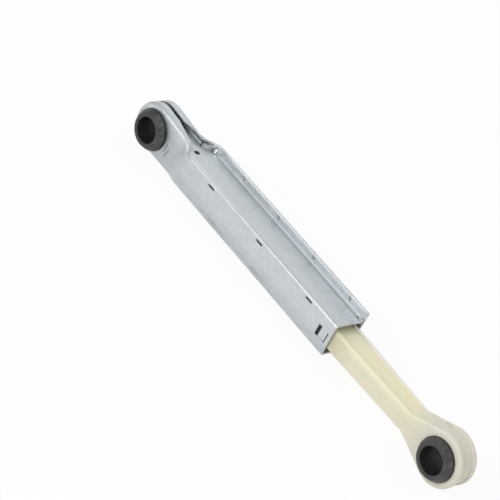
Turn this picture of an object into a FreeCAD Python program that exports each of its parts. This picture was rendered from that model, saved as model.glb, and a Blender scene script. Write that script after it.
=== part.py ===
"""Friction damper of a washing machine, in mm.

The origin is the middle of the housing's bush bore, X runs to the rod's eye,
Y along the bores towards the seam flange, Z up to the housing's top web.
"""
import FreeCAD
import Part
from FreeCAD import Vector

import os
from math import asin, atan2, cos, hypot, radians, sin

# Reach between the two bores as drawn, and the rod's way out from there to its stop
EYE_DISTANCE = 240.0
STROKE_OUT = 10.0

# Bores and rubber bushes, the same moulding at both ends
BORE_R = 7.0
BUSH_WALL = 2.6
BUSH_REACH = 10.6
BUSH_RING_R = 9.5
BUSH_FLANGE_R = 11.3
BUSH_FLANGE_T = 1.3
BUSH_ROUND = 1.0
BUSH_BORE_CHAMFER = 0.6
GRIP_HALF = 6.4

# Folded sheet of the housing
SHEET = 1.0
BEND_R = 1.8
SEAM_BEND_R = 2.6
BODY_HALF_W = 10.2
BODY_HALF_H = 9.8
MOUTH_X = 159.0
FLANGE_TOP = 14.4
INNER_FLANGE_DROP = 0.2
SEAM_SLIT = 0.1

# Ears at the upper end and the necking between them and the body
EAR_TOP = 14.3
EAR_BOTTOM = -11.6
EAR_REACH = 14.1
EAR_MIDDLE_Z = 0.6
EAR_SLOPE = 0.08
NECK_START_X = 21.0
NECK_END_X = 35.0
NECK_STEPS = 14
SHOULDER_DELAY = 3.8
SHOULDER_SET_BACK = 5.4
RISE_START_X = 20.5
RISE_DROP = 0.55
RISE_STEPS = 10
RISE_SKIN = 0.15
LIP_W = 2.6
LIP_END_W = 1.3
RIM_SEAM_Y = -0.1
RIM_SEAM_W = 2.5

# Opening at the ears' foot, as points (x, y) seen from above
RIM_OPEN_X = 10.0
RIM_EDGE_NEAR = ((13.0, -2.1), (20.0, -3.4), (26.6, -4.5))
RIM_EDGE_FAR = ((26.3, 5.6), (22.8, 3.9), (17.5, 3.8), (13.0, 2.2))

# Tongue of the web between the ears, the notch with the tab below it and the relief holes
TONGUE_START_X = 9.0
TONGUE_HALF_W = 4.6
TONGUE_TOP = 11.2
NOTCH_TIP = (26.0, 1.6)
NOTCH_EAR_X = 23.6
NOTCH_SET_BACK = 1.6
NOTCH_STEPS = 10
NOTCH_BITE = 0.3
TAB_DROP = 1.1
TAB_LAP = 0.8
TAB_SLIT = 0.6
WEB_HOLE = (30.5, -3.2)
WEB_HOLE_R = 1.6
WALL_HOLE_X = 31.5
WALL_HOLE_RISE = 1.1
WALL_HOLE_R = 0.95

# Slots, window and pressed bridge of the side walls
SLOT_FIRST_GAP = 18.8
SLOT_LAST_GAP = 21.6
SLOT_COUNT = 3
SLOT_LENGTH = 5.0
SLOT_HEIGHT = 1.1
SLOT_DROP = 2.4
WINDOW_SET_BACK = 9.4
WINDOW_W = 2.1
WINDOW_BOTTOM = -3.3
WINDOW_TOP = 3.0
SLIT_SET_BACK = 2.9
SLIT_W = 0.9
BRIDGE_PRESS = 0.3

# Spot welds of the seam flange and the cut at its lower end
WELD_FIRST_GAP = 21.0
WELD_LAST_GAP = 13.0
WELD_COUNT = 4
WELD_R = 1.3
END_CUT_LENGTH = 4.0
END_CUT_HEIGHT = 1.7

# Rod: a moulded link with a channel above and below that runs on round the eye
ROD_HALF_H = 5.7
ROD_EYE_R = 14.5
ROD_FLARE_RUN = 24.0
ROD_FLARE_ROUND = 6.0
ROD_TAPER_GAP = 6.0
ROD_RIM_W = 2.8
ROD_EDGE_CHAMFER = 0.9
CHANNEL_DEPTH = 1.1
CHANNEL_FLARE_RUN = 28.0
EYE_GROOVE_DEPTH = 1.0
HEAD_LENGTH = 9.0
HEAD_ROUND = 0.8

# Liners and friction pads between the rod and the housing
LINER_START_GAP = 1.3
LINER_SET_BACK = 7.4
LINER_T = 1.2
LINER_SKIRT_T = 0.4
LINER_RIB_T = 2.0
PAD_LENGTH = 32.0

# Clearances
SEAT_GAP = 0.05
SIDE_GAP = 0.1
LUG_GAP = 0.2
LUG_SINK = 0.6
ROD_SIDE_GAP = 0.2
MEET_GAP = 0.2
HEAD_TOP_GAP = 0.25
SLIDE_GAP = 0.3
PAD_SIDE_GAP = 0.35
HEAD_SIDE_GAP = 0.65

# Reach of the cutters past the part, and the limits by which edges are told apart
FAR = 60.0
TOUCH = 1e-6
SHORT_EDGE = 0.1

# Sizes that follow from those above: housing
BUSH_NECK_R = BORE_R + BUSH_WALL
INSIDE_HALF_W = BODY_HALF_W - SHEET
INSIDE_HALF_H = BODY_HALF_H - SHEET
INNER_BEND_R = BEND_R - SHEET
FLANGE_INSIDE_Y = INSIDE_HALF_W - SEAM_SLIT - SHEET
WEB_BEND_Y = FLANGE_INSIDE_Y + SHEET - SEAM_BEND_R
EAR_INSIDE_Y = GRIP_HALF - SHEET
SHOULDER_START_X = NECK_START_X + SHOULDER_DELAY
SHOULDER_END_X = NECK_END_X - SHOULDER_SET_BACK
NOTCH_BODY_X = NECK_END_X - NOTCH_SET_BACK
WINDOW_X = MOUTH_X - WINDOW_SET_BACK
SLIT_X = MOUTH_X - SLIT_SET_BACK
SLOT_Z = BODY_HALF_H - SLOT_DROP

# Sizes that follow from those above: rod, liners and pads
ROD_TAPER_X = MOUTH_X + ROD_TAPER_GAP
ROD_FLAT_X = EYE_DISTANCE - BUSH_FLANGE_R - SEAT_GAP
LINER_START_X = NECK_END_X + LINER_START_GAP
LINER_END_X = MOUTH_X - LINER_SET_BACK
LINER_BACK_Z = INSIDE_HALF_H - SEAT_GAP
LINER_FACE_Z = LINER_BACK_Z - LINER_T
LINER_HALF_W = INSIDE_HALF_W - SIDE_GAP
LINER_CLEAR_HALF_W = LINER_HALF_W - LINER_SKIRT_T
ROD_HALF_W = LINER_CLEAR_HALF_W - ROD_SIDE_GAP
RIB_FACE_Z = ROD_HALF_H + SLIDE_GAP
POCKET_END_X = LINER_END_X - LINER_RIB_T
POCKET_START_X = POCKET_END_X - PAD_LENGTH
STOP_X = POCKET_START_X - LINER_RIB_T
PAD_HALF_W = LINER_CLEAR_HALF_W - PAD_SIDE_GAP
PAD_RIB_HALF_W = GRIP_HALF - ROD_RIM_W - SLIDE_GAP
HEAD_FRONT_X = STOP_X - SLIDE_GAP - STROKE_OUT
HEAD_REAR_X = HEAD_FRONT_X - HEAD_LENGTH
HEAD_HALF_W = LINER_CLEAR_HALF_W - HEAD_SIDE_GAP
HEAD_HALF_H = LINER_FACE_Z - HEAD_TOP_GAP


def spread(first, last, count):
    """Places evenly spread from the first to the last."""
    return [first + (last - first) * i / (count - 1) for i in range(count)]


SLOT_XS = spread(NECK_END_X + SLOT_FIRST_GAP, MOUTH_X - SLOT_LAST_GAP, SLOT_COUNT)
WELD_XS = spread(NECK_END_X + WELD_FIRST_GAP, MOUTH_X - WELD_LAST_GAP, WELD_COUNT)


def block(x0, x1, y0, y1, z0, z1):
    """Box between the given limits."""
    return Part.makeBox(x1 - x0, y1 - y0, z1 - z0, Vector(x0, y0, z0))


def across(x, z, radius, y0, y1):
    """Cylinder along Y."""
    return Part.makeCylinder(radius, y1 - y0, Vector(x, y0, z), Vector(0, 1, 0))


def prism(points, height):
    """Solid swept by a flat outline of points along the given vector."""
    outline = Part.makePolygon(list(points) + [points[0]])
    return Part.Face(outline).extrude(height)


def plan_prism(outline, z0, z1):
    """Prism of an outline of (x, y) pairs between two heights."""
    return prism([Vector(x, y, z0) for x, y in outline], Vector(0, 0, z1 - z0))


def ease(x, start, end):
    """Smooth step from 0 at the start to 1 at the end."""
    t = min(1.0, max(0.0, (x - start) / (end - start)))
    return t * t * (3.0 - 2.0 * t)


def half_width(x):
    """Outer half width of the housing, necked in towards the ears."""
    return GRIP_HALF + (BODY_HALF_W - GRIP_HALF) * ease(x, NECK_START_X, NECK_END_X)


def top_height(x):
    """Outer height of the housing's top, a gentle slope and then a shoulder."""
    ear = EAR_TOP - EAR_SLOPE * x
    return ear + (BODY_HALF_H - ear) * ease(x, SHOULDER_START_X, SHOULDER_END_X)


def bottom_height(x):
    """Outer height of the housing's underside."""
    return EAR_BOTTOM + (-BODY_HALF_H - EAR_BOTTOM) * ease(x, SHOULDER_START_X, NECK_END_X)


def rounded_section(x, inset):
    """Outline of the housing across X, drawn in by the inset."""
    right = half_width(x) - inset
    top = top_height(x) - inset
    bottom = bottom_height(x) + inset
    r = BEND_R - inset
    k = r * (1.0 - cos(radians(45.0)))
    corners = (
        ((right - r, bottom), (right - k, bottom + k), (right, bottom + r)),
        ((right, top - r), (right - k, top - k), (right - r, top)),
        ((r - right, top), (k - right, top - k), (-right, top - r)),
        ((-right, bottom + r), (k - right, bottom + k), (r - right, bottom)),
    )
    edges = []
    for corner, following in zip(corners, corners[1:] + corners[:1]):
        start, middle, end = (Vector(x, y, z) for y, z in corner)
        edges.append(Part.Arc(start, middle, end).toShape())
        edges.append(Part.makeLine(end, Vector(x, *following[0])))
    return Part.Wire(edges)


def ear_cap(inset):
    """Round end of the ears, from the bore's middle to the tip, drawn in by the inset."""
    left = inset - EAR_REACH
    top = top_height(0.0) - inset
    bottom = bottom_height(0.0) + inset
    half = half_width(0.0) - inset
    low_r = min(-left, EAR_MIDDLE_Z - bottom)
    up_r = min(-left, top - EAR_MIDDLE_Z)
    turn = 1.0 - cos(radians(45.0))
    low_k = low_r * turn
    up_k = up_r * turn

    def at(x, z):
        return Vector(x, -half, z)

    low_arc = (at(left + low_r, bottom), at(left + low_k, bottom + low_k), at(left, bottom + low_r))
    up_arc = (at(left, top - up_r), at(left + up_k, top - up_k), at(left + up_r, top))
    edges = [Part.Arc(*low_arc).toShape(), Part.Arc(*up_arc).toShape()]
    joins = (
        (at(0, bottom), low_arc[0]),
        (low_arc[-1], up_arc[0]),
        (up_arc[-1], at(0, top)),
        (at(0, top), at(0, bottom)),
    )
    edges += [Part.makeLine(a, b) for a, b in joins if a.distanceToPoint(b) > TOUCH]
    outline = Part.Wire(Part.__sortEdges__(edges))
    cap = Part.Face(outline).extrude(Vector(0, 2.0 * half, 0))
    rims = [e for e in cap.Edges if abs(abs(e.CenterOfMass.y) - half) < TOUCH and e.CenterOfMass.x < -TOUCH]
    return cap.makeFillet(BEND_R - inset, rims)


def ear_block(inset):
    """Straight run of the ears from the bore's middle to the neck, drawn in by the inset."""
    return Part.makeLoft([rounded_section(x, inset) for x in (0.0, NECK_START_X)], True, True)


def neck_block(inset):
    """Form that leads from the ears' section to the body's, drawn in by the inset."""
    steps = spread(NECK_START_X, NECK_END_X, NECK_STEPS + 1)
    return Part.makeLoft([rounded_section(x, inset) for x in steps], True, False)


def body_block(inset):
    """Straight body from the neck to the mouth, drawn in by the inset."""
    return Part.Face(rounded_section(NECK_END_X, inset)).extrude(Vector(MOUTH_X - NECK_END_X, 0, 0))


def housing_shell():
    """Closed tube of sheet with the ears' round end, before anything is cut."""
    forms = (ear_cap, ear_block, neck_block, body_block)
    pieces = [form(0.0).cut(form(SHEET)) for form in forms]
    return pieces[0].fuse(pieces[1:])


def upturned_edge(x0, x1, wall_y, bend, top):
    """Edge of the web between two places, turned up against the inner face of the far wall."""
    turn = cos(radians(45.0))
    inner = bend - SHEET
    bend_z = INSIDE_HALF_H + bend
    side = wall_y - SEAM_SLIT
    face = side - SHEET
    bend_y = face - inner

    def at(y, z):
        return Vector(x0, y, z)

    outer_bend = at(bend_y + bend * turn, bend_z - bend * turn)
    inner_bend = at(bend_y + inner * turn, bend_z - inner * turn)
    outline = [
        Part.makeLine(at(bend_y - SHEET, INSIDE_HALF_H), at(bend_y, INSIDE_HALF_H)),
        Part.Arc(at(bend_y, INSIDE_HALF_H), outer_bend, at(side, bend_z)).toShape(),
        Part.makeLine(at(side, bend_z), at(side, top)),
        Part.makeLine(at(side, top), at(face, top)),
        Part.makeLine(at(face, top), at(face, bend_z)),
        Part.Arc(at(face, bend_z), inner_bend, at(bend_y, BODY_HALF_H)).toShape(),
        Part.makeLine(at(bend_y, BODY_HALF_H), at(bend_y - SHEET, BODY_HALF_H)),
        Part.makeLine(at(bend_y - SHEET, BODY_HALF_H), at(bend_y - SHEET, INSIDE_HALF_H)),
    ]
    return Part.Face(Part.Wire(outline)).extrude(Vector(x1 - x0, 0, 0))


def seam_flange():
    """Upturned edge of the web with its slanted ends, spot welded to the far wall."""
    y = FLANGE_INSIDE_Y - SHEET
    start_cut = [
        Vector(NECK_END_X - SHEET, y, BODY_HALF_H + SHEET),
        Vector(NECK_END_X + SHEET, y, BODY_HALF_H + SHEET),
        Vector(NECK_END_X + FLANGE_TOP - BODY_HALF_H, y, FLANGE_TOP),
        Vector(NECK_END_X - SHEET, y, FLANGE_TOP),
    ]
    end_cut = [
        Vector(MOUTH_X - END_CUT_LENGTH, WEB_BEND_Y, BODY_HALF_H),
        Vector(MOUTH_X + SHEET, WEB_BEND_Y, BODY_HALF_H + END_CUT_HEIGHT),
        Vector(MOUTH_X + SHEET, WEB_BEND_Y, INSIDE_HALF_H - SHEET),
        Vector(MOUTH_X - END_CUT_LENGTH, WEB_BEND_Y, INSIDE_HALF_H - SHEET),
    ]
    top = FLANGE_TOP - INNER_FLANGE_DROP
    flange = upturned_edge(NECK_END_X, MOUTH_X, INSIDE_HALF_W, SEAM_BEND_R, top)
    flange = flange.cut(prism(start_cut, Vector(0, 3.0 * SHEET, 0)))
    flange = flange.cut(prism(end_cut, Vector(0, INSIDE_HALF_W - SEAM_SLIT - WEB_BEND_Y, 0)))
    weld_z = (INSIDE_HALF_H + SEAM_BEND_R + FLANGE_TOP) / 2.0
    weld_y = FLANGE_INSIDE_Y + SHEET / 2.0
    welds = [across(x, weld_z, WELD_R, weld_y, INSIDE_HALF_W) for x in WELD_XS]
    return flange.fuse(welds)


def rising_wall():
    """Far wall above the web with its lip, from the ear to the body, and straight on to the mouth."""
    ear_level = top_height(RISE_START_X) - RISE_DROP
    wires = []
    for x in spread(RISE_START_X, NECK_END_X, RISE_STEPS + 1):
        out = half_width(x)
        low = top_height(x) - 2.0 * BEND_R
        share = ease(x, RISE_START_X, NECK_END_X)
        high = ear_level + (FLANGE_TOP - ear_level) * share
        lip = out - LIP_W + (LIP_W - LIP_END_W) * share
        face = out - SHEET - RISE_SKIN
        under = high - SHEET
        section = ((face, low), (out, low), (out, high), (lip, high), (lip, under), (face, under))
        ring = [Vector(x, y, z) for y, z in section]
        wires.append(Part.makePolygon(ring + [ring[0]]))
    neck = Part.makeLoft(wires, True, True)
    low = BODY_HALF_H - 2.0 * BEND_R
    return neck.fuse(block(NECK_END_X, MOUTH_X, INSIDE_HALF_W, BODY_HALF_W, low, FLANGE_TOP))


def through_wall(side):
    """Limits in Y of a cutter through one side wall."""
    return sorted((side * (INSIDE_HALF_W - SHEET), side * (BODY_HALF_W + SHEET)))


def side_slot(x, side):
    """Cutter of one latch slot with round ends in a side wall."""
    r = SLOT_HEIGHT / 2.0
    half = SLOT_LENGTH / 2.0 - r
    y0, y1 = through_wall(side)
    bar = block(x - half, x + half, y0, y1, SLOT_Z - r, SLOT_Z + r)
    return bar.fuse([across(x - half, SLOT_Z, r, y0, y1), across(x + half, SLOT_Z, r, y0, y1)])


def floor_slot(x):
    """Cutter of one latch slot in the underside."""
    half = SLOT_LENGTH / 2.0
    return block(x - half, x + half, -SLOT_HEIGHT, SLOT_HEIGHT, -BODY_HALF_H - SHEET, SHEET - INSIDE_HALF_H)


def with_bridge(shell, side):
    """Shell with a window, a slit and the strip between them pressed inwards."""
    height = (WINDOW_BOTTOM, WINDOW_TOP)
    window = block(WINDOW_X, WINDOW_X + WINDOW_W, *through_wall(side), *height)
    slit = block(SLIT_X, SLIT_X + SLIT_W, *through_wall(side), *height)
    strip = (WINDOW_X + WINDOW_W, SLIT_X)
    dent_y = sorted((side * (BODY_HALF_W - BRIDGE_PRESS), side * (BODY_HALF_W + SHEET)))
    bump_y = sorted((side * (INSIDE_HALF_W - BRIDGE_PRESS), side * INSIDE_HALF_W))
    dent = block(*strip, *dent_y, *height)
    return shell.cut([window, slit, dent]).fuse(block(*strip, *bump_y, *height))


def ear_openings():
    """Cutters of the gap between the ears' rims and of the opening at their foot."""
    y0 = RIM_SEAM_Y - RIM_SEAM_W / 2.0
    y1 = RIM_SEAM_Y + RIM_SEAM_W / 2.0
    gap = block(-EAR_REACH - SHEET, RIM_OPEN_X, y0, y1, -FAR, FAR)
    floor = block(-EAR_REACH - SHEET, SHOULDER_START_X, y0, y1, -FAR, 0)
    end = [(SHOULDER_END_X, RIM_EDGE_NEAR[-1][1]), (SHOULDER_END_X, half_width(SHOULDER_END_X) - SHEET)]
    foot = [(RIM_OPEN_X, y0), *RIM_EDGE_NEAR, *end, *RIM_EDGE_FAR, (RIM_OPEN_X, y1)]
    return [gap, floor, plan_prism(foot, BODY_HALF_H + SEAT_GAP, FAR)]


def tongue():
    """Web run on between the ears, with its far edge turned up against the far ear."""
    inner_y = EAR_INSIDE_Y - SEAM_SLIT - SHEET - INNER_BEND_R
    flat = block(TONGUE_START_X, NECK_END_X, -TONGUE_HALF_W, inner_y, INSIDE_HALF_H, BODY_HALF_H)
    return flat.fuse(upturned_edge(TONGUE_START_X, NOTCH_TIP[0], EAR_INSIDE_Y, BEND_R, TONGUE_TOP))


def notch():
    """Cutter of the notch that parts the tongue's upturned edge from the seam flange."""
    xs = spread(NOTCH_BODY_X, NOTCH_EAR_X, NOTCH_STEPS + 1)
    wall = [(x, half_width(x) - SHEET + NOTCH_BITE) for x in xs]
    return plan_prism([NOTCH_TIP] + wall, INSIDE_HALF_H - SHEET, TONGUE_TOP + SEAT_GAP)


def notch_tab():
    """Tab turned in from the far wall under the notch, a slit away from the tongue."""
    first = NOTCH_BODY_X + TAB_LAP
    last = NOTCH_EAR_X + TAB_SLIT
    near = [(NOTCH_TIP[0] + TAB_SLIT, NOTCH_TIP[1] - TAB_LAP), (first, FLANGE_INSIDE_Y - TAB_LAP)]
    wall = [(x, half_width(x) - SHEET / 2.0) for x in spread(first, last, NOTCH_STEPS + 1)]
    top = BODY_HALF_H - TAB_DROP
    return plan_prism(near + wall, top - SHEET, top)


def relief_holes():
    """Cutters of the round holes in the web and in the far wall beside the notch."""
    web_hole = Part.makeCylinder(WEB_HOLE_R, 4.0 * SHEET, Vector(*WEB_HOLE, INSIDE_HALF_H - SHEET))
    wall_z = BODY_HALF_H + WALL_HOLE_RISE
    return [web_hole, across(WALL_HOLE_X, wall_z, WALL_HOLE_R, TONGUE_HALF_W, BODY_HALF_W + SHEET)]


def make_housing():
    """Housing folded from one sheet: body, seam flange, ears, slots and windows."""
    seat_y = (WEB_BEND_Y - SHEET / 2.0, INSIDE_HALF_W)
    seat = block(NECK_END_X, MOUTH_X + SHEET, *seat_y, INSIDE_HALF_H - BEND_R, FAR)
    shell = housing_shell().cut(seat).cut(ear_openings())
    shell = shell.fuse([seam_flange(), rising_wall(), tongue()])
    bore = across(0, 0, BUSH_NECK_R, -FAR, FAR)
    slots = [side_slot(x, side) for x in SLOT_XS for side in (-1, 1)]
    floors = [floor_slot(x) for x in SLOT_XS]
    shell = shell.cut([notch(), bore] + relief_holes() + slots + floors).fuse(notch_tab())
    for side in (-1, 1):
        shell = with_bridge(shell, side)
    return shell


def make_bush(x):
    """Rubber bush: a sloping collar on either side of the eye and a bore right through."""
    radii = (
        (BORE_R, BUSH_REACH),
        (BUSH_RING_R, BUSH_REACH),
        (BUSH_FLANGE_R, GRIP_HALF + BUSH_FLANGE_T),
        (BUSH_FLANGE_R, GRIP_HALF),
        (BUSH_NECK_R, GRIP_HALF),
    )
    upper = [Vector(x + r, y, 0) for r, y in radii]
    lower = [Vector(x + r, -y, 0) for r, y in reversed(radii)]
    outline = Part.makePolygon(upper + lower + [upper[0]])
    bush = Part.Face(outline).revolve(Vector(x, 0, 0), Vector(0, 1, 0), 360)

    def circles(radius, level):
        rings = [e for e in bush.Edges if isinstance(e.Curve, Part.Circle)]
        rings = [e for e in rings if abs(e.Curve.Radius - radius) < TOUCH]
        return [e for e in rings if abs(abs(e.CenterOfMass.y) - level) < TOUCH]

    bush = bush.makeFillet(BUSH_ROUND, circles(BUSH_RING_R, BUSH_REACH))
    bush = bush.makeFillet(BUSH_FLANGE_T / 2.0, circles(BUSH_FLANGE_R, GRIP_HALF + BUSH_FLANGE_T))
    return bush.makeChamfer(BUSH_BORE_CHAMFER, circles(BORE_R, BUSH_REACH))


def link_prism(bar_half, eye_r, flare_run):
    """Side outline of the rod, a bar that flares in a straight line onto the round eye."""
    lean = asin(eye_r / hypot(flare_run, bar_half)) - atan2(bar_half, flare_run)
    touch = Vector(EYE_DISTANCE - eye_r * sin(lean), -FAR, eye_r * cos(lean))
    start = Vector(HEAD_REAR_X, -FAR, bar_half)
    flare = Vector(EYE_DISTANCE - flare_run, -FAR, bar_half)

    def down(p):
        return Vector(p.x, p.y, -p.z)

    edges = [
        Part.makeLine(down(start), down(flare)),
        Part.makeLine(down(flare), down(touch)),
        Part.Arc(down(touch), Vector(EYE_DISTANCE + eye_r, -FAR, 0), touch).toShape(),
        Part.makeLine(touch, flare),
        Part.makeLine(flare, start),
        Part.makeLine(start, down(start)),
    ]
    solid = Part.Face(Part.Wire(edges)).extrude(Vector(0, 2.0 * FAR, 0))
    corners = [e for e in solid.Edges if abs(e.CenterOfMass.y) < TOUCH]
    corners = [e for e in corners if abs(e.CenterOfMass.x - flare.x) < TOUCH]
    return solid.makeFillet(ROD_FLARE_ROUND, corners)


def rod_plan(inset, start_x):
    """Plan outline of the rod, tapering to the eye, drawn in by the inset."""
    wide = ROD_HALF_W - inset
    slim = GRIP_HALF - inset
    side = [(start_x, wide), (ROD_TAPER_X, wide), (ROD_FLAT_X, slim), (EYE_DISTANCE + FAR, slim)]
    return plan_prism(side + [(x, -y) for x, y in reversed(side)], -FAR, FAR)


def make_rod():
    """Rod with its channels, the eye and the head that stops it inside the housing."""
    bar = link_prism(ROD_HALF_H, ROD_EYE_R, ROD_FLARE_RUN).common(rod_plan(0.0, HEAD_REAR_X))
    sides = [e for e in bar.Edges if abs(e.CenterOfMass.y) > GRIP_HALF / 2.0]
    bar = bar.makeChamfer(ROD_EDGE_CHAMFER, [e for e in sides if e.BoundBox.XLength > SHORT_EDGE])
    core = link_prism(ROD_HALF_H - CHANNEL_DEPTH, ROD_EYE_R - EYE_GROOVE_DEPTH, CHANNEL_FLARE_RUN)
    bar = bar.cut(rod_plan(ROD_RIM_W, HEAD_FRONT_X).cut(core))
    head = block(HEAD_REAR_X, HEAD_FRONT_X, -HEAD_HALF_W, HEAD_HALF_W, -HEAD_HALF_H, HEAD_HALF_H)
    head = head.makeFillet(HEAD_ROUND, [e for e in head.Edges if e.BoundBox.XLength > HEAD_LENGTH / 2.0])
    return bar.fuse(head).cut(across(EYE_DISTANCE, 0, BUSH_NECK_R, -FAR, FAR))


def side_lugs():
    """Lugs of the upper liner, one in each slot of the side walls."""
    run = (SLOT_LENGTH - SLOT_HEIGHT) / 2.0 - LUG_GAP
    rise = SLOT_HEIGHT / 2.0 - LUG_GAP
    reach = BODY_HALF_W - LUG_SINK
    lugs = []
    for x in SLOT_XS:
        for side in (-1, 1):
            y0, y1 = sorted((side * reach, side * LINER_CLEAR_HALF_W))
            lugs.append(block(x - run, x + run, y0, y1, SLOT_Z - rise, SLOT_Z + rise))
    return lugs


def floor_lugs():
    """Lugs of the lower liner, one in each slot of the underside, drawn facing up."""
    run = SLOT_LENGTH / 2.0 - LUG_GAP
    half = SLOT_HEIGHT - LUG_GAP
    return [block(x - run, x + run, -half, half, LINER_FACE_Z, BODY_HALF_H - LUG_SINK) for x in SLOT_XS]


def make_liner(lugs):
    """Slide liner under the web, with skirts, a pocket for the pad and the given lugs."""
    span = (LINER_START_X, LINER_END_X)
    blank = block(*span, -LINER_HALF_W, LINER_HALF_W, MEET_GAP / 2.0, LINER_BACK_Z)
    backs = [e for e in blank.Edges if e.BoundBox.XLength > PAD_LENGTH and e.CenterOfMass.z > LINER_FACE_Z]
    blank = blank.makeFillet(INNER_BEND_R, backs)
    hollow = block(*span, -LINER_CLEAR_HALF_W, LINER_CLEAR_HALF_W, 0, LINER_FACE_Z)
    ribs = []
    for x in (STOP_X, POCKET_END_X):
        ribs.append(block(x, x + LINER_RIB_T, -PAD_HALF_W, PAD_HALF_W, RIB_FACE_Z, LINER_FACE_Z))
    return blank.cut(hollow).fuse(ribs + lugs).removeSplitter()


def make_pad():
    """Greased friction pad in the liner's pocket, with a rib that runs in the rod's channel."""
    x0 = POCKET_START_X + SEAT_GAP
    x1 = POCKET_END_X - SEAT_GAP
    back = LINER_FACE_Z - SEAT_GAP
    floor = ROD_HALF_H - CHANNEL_DEPTH + SLIDE_GAP
    flat = block(x0, x1, -PAD_HALF_W, PAD_HALF_W, RIB_FACE_Z, back)
    rib = block(x0, x1, -PAD_RIB_HALF_W, PAD_RIB_HALF_W, floor, back)
    return flat.fuse(rib).removeSplitter()


def turned_over(shape):
    """Copy of a shape on the other side of the rod."""
    return shape.mirror(Vector(0, 0, 0), Vector(0, 0, 1))


def main():
    """Builds every sub-part and writes one file for each."""
    os.makedirs("parts", exist_ok=True)
    shapes = {
        "housing": make_housing(),
        "housing_bush": make_bush(0.0),
        "liner_upper": make_liner(side_lugs()),
        "liner_lower": turned_over(make_liner(floor_lugs())),
        "pad_upper": make_pad(),
        "pad_lower": turned_over(make_pad()),
        "rod": make_rod(),
        "rod_bush": make_bush(EYE_DISTANCE),
    }
    for name, shape in shapes.items():
        shape.exportStep(f"parts/{name}.step")
        print(name, shape.isValid(), len(shape.Solids), round(shape.Volume, 1), shape.BoundBox)


main()
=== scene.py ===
"""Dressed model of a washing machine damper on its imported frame, with a studio to look at it."""

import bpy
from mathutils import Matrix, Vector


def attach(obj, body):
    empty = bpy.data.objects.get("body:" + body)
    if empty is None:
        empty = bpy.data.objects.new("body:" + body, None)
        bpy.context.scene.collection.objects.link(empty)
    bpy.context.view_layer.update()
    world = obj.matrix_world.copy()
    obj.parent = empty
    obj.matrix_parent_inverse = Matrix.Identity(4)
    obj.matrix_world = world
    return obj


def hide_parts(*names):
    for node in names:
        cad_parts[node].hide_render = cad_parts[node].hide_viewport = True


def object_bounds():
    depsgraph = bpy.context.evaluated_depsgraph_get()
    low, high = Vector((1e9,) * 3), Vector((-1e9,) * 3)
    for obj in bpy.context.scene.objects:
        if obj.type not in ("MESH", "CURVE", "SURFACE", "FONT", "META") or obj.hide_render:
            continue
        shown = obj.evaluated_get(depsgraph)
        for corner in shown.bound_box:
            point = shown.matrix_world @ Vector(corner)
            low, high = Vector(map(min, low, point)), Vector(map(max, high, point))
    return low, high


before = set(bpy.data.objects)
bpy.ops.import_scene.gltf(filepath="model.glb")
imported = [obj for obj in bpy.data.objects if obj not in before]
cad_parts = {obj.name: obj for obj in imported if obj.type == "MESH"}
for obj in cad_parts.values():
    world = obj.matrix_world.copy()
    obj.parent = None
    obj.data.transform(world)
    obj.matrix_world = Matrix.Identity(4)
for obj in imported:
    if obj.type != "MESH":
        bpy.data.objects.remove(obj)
CAD_BOX = [list(corner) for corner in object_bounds()]

import logging
import math
from dataclasses import dataclass, field
from enum import Enum
from functools import partial, reduce
from typing import Iterable, Sequence

import bmesh
import bpy
from mathutils import Matrix, Vector

LOG = logging.getLogger("damper")
MM = 0.001
JOIN_GAP = 0.0002 * MM
EYE_DISTANCE = 240.0 * MM
NOTCH_TIP_X, NOTCH_TIP_Y, NOTCH_SLOPE = 26.0, 1.6, 0.95
NOTCH_LINE = NOTCH_TIP_Y - NOTCH_SLOPE * NOTCH_TIP_X
Socket = bpy.types.NodeSocket
Triple = tuple[float, float, float]
Colour = Triple


class Body(Enum):
    """Bodies of the frame that a piece can ride on."""

    HOUSING = "housing"
    ROD = "rod"


class Slot(Enum):
    """Material slots of the record; the pieces here are given their finishes directly, not from these."""

    STEEL = "sheet_steel"
    RUBBER = "bush_rubber"
    NYLON = "rod_nylon"


class Along(Enum):
    """Measures that a share of a finish can follow: coordinates, direction in them, and unit."""

    X = ("Object", (1.0, 0.0, 0.0), MM)
    Y = ("Object", (0.0, 1.0, 0.0), MM)
    Z = ("Object", (0.0, 0.0, 1.0), MM)
    TOP_FOLD = ("Object", (0.0, -0.5, 1.0), MM)
    EAR_FOLD = ("Object", (0.08, -1.0, 1.0), MM)
    NOTCH_SIDE = ("Object", (-NOTCH_SLOPE, 1.0, 0.0), MM)
    FACING_Y = ("Normal", (0.0, 1.0, 0.0), 1.0)

    @property
    def unit(self) -> float:
        """Size of one step of the measure's limits."""
        return self.value[2]


@dataclass(frozen=True)
class Ramp:
    """Smooth, clamped step from one value to another."""

    low: float
    high: float
    to_low: float = 0.0
    to_high: float = 1.0


@dataclass(frozen=True)
class Reach(Ramp):
    """Ramp that follows a measure of the surface, with limits in the measure's unit."""

    along: Along = Along.X


@dataclass(frozen=True)
class Grain:
    """Noise pattern: cells to the metre, finer layers, their strength and the stretch of the pattern."""

    cells: float
    layers: float = 3.0
    rough: float = 0.55
    stretch: Triple = (1.0, 1.0, 1.0)


@dataclass(frozen=True)
class Relief:
    """Depth of a full step of height, in millimetres, and the share of its effect."""

    depth: float
    share: float


Zone = tuple[Reach, ...]


def rise(along: Along, low: float, high: float, top: float = 1.0, base: float = 0.0) -> Reach:
    """Share that grows along a measure.

    Args:
        along: Measure to follow.
        low: Where the growth starts.
        high: Where it ends.
        top: Share past the end.
        base: Share before the start.

    Returns:
        The reach.
    """
    return Reach(low, high, base, top, along)


def fall(along: Along, low: float, high: float, top: float = 1.0, base: float = 0.0) -> Reach:
    """Share that shrinks along a measure.

    Args:
        along: Measure to follow.
        low: Where the shrinking starts.
        high: Where it ends.
        top: Share before the start.
        base: Share past the end.

    Returns:
        The reach.
    """
    return Reach(low, high, top, base, along)


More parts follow.
